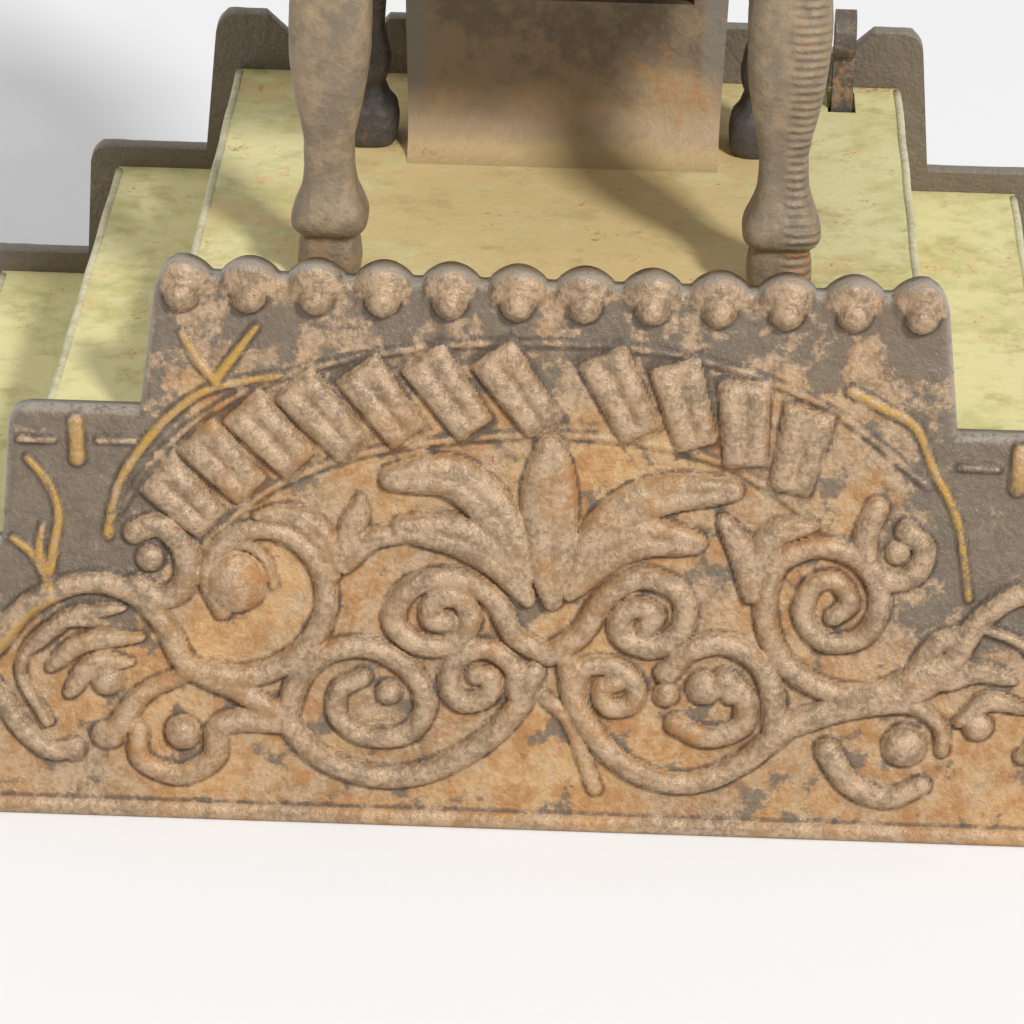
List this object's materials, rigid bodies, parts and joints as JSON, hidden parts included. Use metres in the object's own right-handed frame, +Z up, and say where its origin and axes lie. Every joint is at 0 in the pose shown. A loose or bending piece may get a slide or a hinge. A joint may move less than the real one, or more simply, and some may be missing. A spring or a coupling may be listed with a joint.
{
  "type": "mechanical bank",
  "caption": "Cast-iron mechanical bank: a conjurer behind a table on a three-tiered base. A thumb lever lowers a hat over a coin and tips it down a chute into the base.",
  "frame": {"origin": "centre of the base at the surface it stands on", "axes": "+Z up, -Y is the ornamented front, +X is the viewer's right seen from the front, where the thumb lever is"},
  "size_m": [0.1778, 0.115, 0.2032],
  "materials": {
    "japanned_iron": "worn japan lacquer over rusting cast iron, with gilt scrollwork",
    "green_painted_iron": "worn pale olive oil paint",
    "bare_iron": "bare rusty casting",
    "steel": "dull drawn steel",
    "brass": "tarnished brass",
    "table_paint": "worn dark brown paint",
    "tinplate": "dull tinned sheet",
    "coat_paint": "worn black paint",
    "face_paint": "chalky flesh paint",
    "hat_paint": "worn dark red paint",
    "leg_paint": "worn slate paint over rust"
  },
  "bodies": {
    "base": {"front_panel": "japanned_iron", "back_panel": "japanned_iron", "stepped_deck": "green_painted_iron", "base_plate": "bare_iron", "base_plate_screws": "steel", "tie_rods": "steel", "coin_door_pin": "steel", "return_spring": "steel", "table_top": "table_paint", "cabinet": "table_paint", "coin_chute": "tinplate", "front_leg_left": "leg_paint", "front_leg_right": "leg_paint", "rear_leg_left": "leg_paint", "rear_leg_right": "leg_paint", "leg_top_studs": "steel", "leg_foot_studs": "steel", "figure_front": "coat_paint", "figure_back": "coat_paint", "figure_rivets": "steel", "figure_screws": "steel", "head_pin": "steel"},
    "rocker": {"rock_shaft": "steel", "lever": "japanned_iron", "lift_arm": "bare_iron"},
    "pull_link": {"pull_rod": "steel"},
    "trap_link": {"trap_rod": "steel"},
    "arms": {"shoulder_axle": "steel", "arm_crank": "bare_iron", "hat": "hat_paint", "right_arm": "coat_paint", "left_arm": "coat_paint"},
    "nodding_head": {"head": "face_paint"},
    "flap": {"table_flap": "table_paint", "flap_crank": "steel"},
    "door": {"coin_door": "bare_iron"},
    "lock": {"lock_barrel": "brass", "lock_cam": "steel"}
  },
  "joints": [
    {"name": "lever_press", "type": "hinge", "parent": "base", "child": "rocker", "pos_m": [0, 0.0022, 0.057], "axis": [-1, 0, 0], "range_deg": [0, 12], "stiffness_Nm_per_rad": 0.6, "springref_deg": -14.32, "deforming": ["return_spring"]},
    {"name": "pull_rod_slide", "type": "slide", "parent": "base", "child": "pull_link", "axis": [0, 0, -1], "range_m": [0, 0.00664]},
    {"name": "arms_lower", "type": "hinge", "parent": "base", "child": "arms", "pos_m": [0, 0.0416, 0.168], "axis": [1, 0, 0], "range_deg": [0, 46.01]},
    {"name": "head_nod", "type": "hinge", "parent": "base", "child": "nodding_head", "pos_m": [0, 0.04, 0.184], "axis": [1, 0, 0], "range_deg": [0, 9.01]},
    {"name": "trap_rod_slide", "type": "slide", "parent": "base", "child": "trap_link", "axis": [0, 0, -1], "range_m": [0, 0.00332]},
    {"name": "flap_tip", "type": "hinge", "parent": "base", "child": "flap", "pos_m": [0, 0.0056, 0.1216], "axis": [-1, 0, 0], "range_deg": [0, 15.28]},
    {"name": "coin_door_swing", "type": "hinge", "parent": "base", "child": "door", "pos_m": [0, -0.026, 0.00125], "axis": [-1, 0, 0], "range_deg": [0, 90]},
    {"name": "lock_turn", "type": "hinge", "parent": "door", "child": "lock", "pos_m": [0, 0.002, 0.003], "axis": [0, 0, 1], "range_deg": [0, 90]}
  ],
  "couplings": [
    {"joint": "pull_rod_slide", "follows": "lever_press", "m_per_rad": 0.031678},
    {"joint": "arms_lower", "follows": "lever_press", "ratio": 3.8333},
    {"joint": "head_nod", "follows": "lever_press", "ratio": 0.75},
    {"joint": "trap_rod_slide", "follows": "lever_press", "m_per_rad": 0.015861},
    {"joint": "flap_tip", "follows": "lever_press", "ratio": 1.2726}
  ]
}
